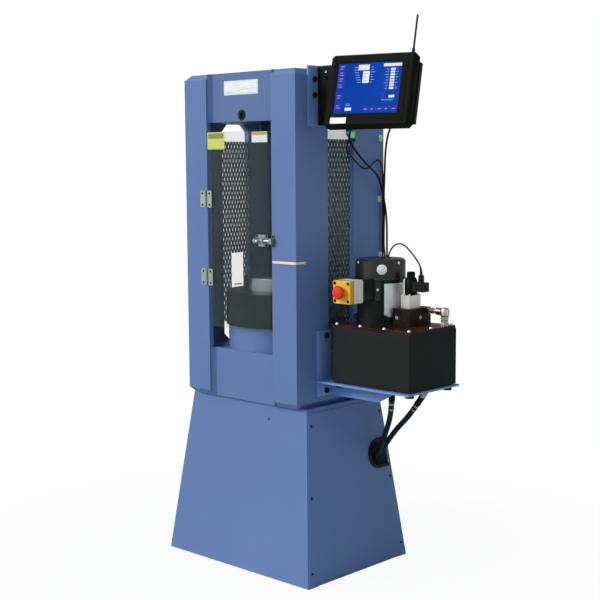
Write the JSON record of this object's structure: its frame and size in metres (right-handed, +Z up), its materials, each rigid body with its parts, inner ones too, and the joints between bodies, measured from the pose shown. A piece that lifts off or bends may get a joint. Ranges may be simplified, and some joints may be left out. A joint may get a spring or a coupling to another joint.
{
  "type": "concrete compression testing machine",
  "caption": "Free-standing compression testing machine: welded load frame with a hydraulic ram, hinged guard door, side power pack and tilting touch screen on a tapered pedestal.",
  "frame": {"origin": "on the floor below the machine's loading axis, in the middle of the anchor holes", "axes": "+Z up, the guard door faces -Y, the power pack and the screen are on the +X side"},
  "size_m": [0.871, 0.4424, 1.5922],
  "materials": {
    "blue_paint": "smooth blue paint",
    "charcoal_paint": "matt charcoal paint",
    "dark_paint": "satin black paint",
    "skirt_steel": "dark blued steel",
    "bright_steel": "ground steel",
    "dark_steel": "black oxide",
    "zinc": "zinc plated",
    "aluminium": "machined aluminium",
    "cast_iron": "dark cast iron",
    "smoke_plastic": "smoke-tinted polycarbonate",
    "black_plastic": "black plastic",
    "bezel_plastic": "dark grey housing",
    "screen": "lit screen",
    "yellow_plastic": "yellow plastic",
    "red_plastic": "red plastic",
    "grey_plastic": "light grey plastic",
    "white_plastic": "white plastic",
    "black_rubber": "black rubber",
    "seal_rubber": "seal"
  },
  "bodies": {
    "frame": {"pedestal_shell": "blue_paint", "pedestal_side_panels": "blue_paint", "cover_screws": "dark_steel", "hose_grommet": "black_rubber", "column_left": "blue_paint", "column_right": "blue_paint", "base_block": "blue_paint", "crosshead": "blue_paint", "platen_lock_screw": "dark_steel", "platen_seat": "bright_steel", "cylinder_body": "blue_paint", "ram_seals": "seal_rubber", "side_guard_left": "dark_paint", "side_guard_right": "dark_paint", "rear_guard": "smoke_plastic", "hinge_frame_leaves": "zinc", "latch_keeper": "zinc", "frame_hinge_screws": "dark_steel", "shelf": "blue_paint", "shelf_brackets": "blue_paint", "bolts": "dark_steel", "tank": "charcoal_paint", "tank_mounts": "black_rubber", "tank_lid": "dark_paint", "lid_screws": "zinc", "motor_body": "dark_paint", "fan_cover": "dark_paint", "pump_body": "aluminium", "conduit_box": "dark_paint", "stop_base": "grey_plastic", "stop_cover": "yellow_plastic", "manifold": "dark_steel", "valve_body": "zinc", "solenoid_coil": "black_plastic", "din_connector": "black_plastic", "hydraulic_fittings": "zinc", "monitor_bracket": "blue_paint", "tilt_arm": "dark_paint", "cable_clips": "white_plastic", "pressure_hose": "black_rubber", "return_hose": "black_rubber", "controller_cable": "black_rubber", "power_cable": "black_rubber", "solenoid_lead": "black_rubber"},
    "ram": {"ram": "bright_steel", "dust_skirt": "skirt_steel", "lower_platen": "bright_steel"},
    "door": {"door_panel": "smoke_plastic", "hinge_door_leaves": "zinc", "door_screws": "dark_steel", "latch_body": "zinc"},
    "latch": {"latch_bolt": "zinc"},
    "stop_button": {"stop_button": "red_plastic"},
    "monitor": {"monitor_housing": "bezel_plastic", "monitor_screen": "screen"},
    "antenna": {"antenna": "black_plastic"},
    "motor_rotor": {"motor_rotor": "cast_iron"},
    "platen_stem": {"platen_stem": "zinc", "platen_springs": "dark_steel"},
    "upper_platen": {"upper_platen": "bright_steel"}
  },
  "joints": [
    {"name": "ram_slide", "type": "slide", "parent": "frame", "child": "ram", "axis": [0, 0, 1], "range_m": [0, 0.064]},
    {"name": "door_hinge", "type": "hinge", "parent": "frame", "child": "door", "pos_m": [-0.139, -0.1944, 0.9775], "axis": [0, 0, -1], "range_deg": [0, 150]},
    {"name": "latch_slide", "type": "slide", "parent": "door", "child": "latch", "axis": [-1, 0, 0], "range_m": [0, 0.014]},
    {"name": "stop_press", "type": "slide", "parent": "frame", "child": "stop_button", "axis": [0, 1, 0], "range_m": [0, 0.006], "stiffness_N_per_m": 800},
    {"name": "monitor_tilt", "type": "hinge", "parent": "frame", "child": "monitor", "pos_m": [0.42171, -0.0723, 1.37949], "axis": [0.9617, 0.274, 0], "range_deg": [-12, 16], "deforming": ["controller_cable", "power_cable", "solenoid_lead"]},
    {"name": "antenna_fold", "type": "hinge", "parent": "monitor", "child": "antenna", "pos_m": [0.52329, -0.04563, 1.4677], "axis": [-0.9617, -0.274, 0], "range_deg": [0, 90]},
    {"name": "motor_spin", "type": "hinge", "parent": "frame", "child": "motor_rotor", "pos_m": [0.36, 0.02, 0.8], "axis": [0, 0, 1], "continuous": true},
    {"name": "platen_tilt_x", "type": "hinge", "parent": "frame", "child": "platen_stem", "pos_m": [0, 0, 1.258], "axis": [1, 0, 0], "range_deg": [-2, 2]},
    {"name": "platen_tilt_y", "type": "hinge", "parent": "platen_stem", "child": "upper_platen", "pos_m": [0, 0, 1.258], "axis": [0, 1, 0], "range_deg": [-2, 2]}
  ]
}
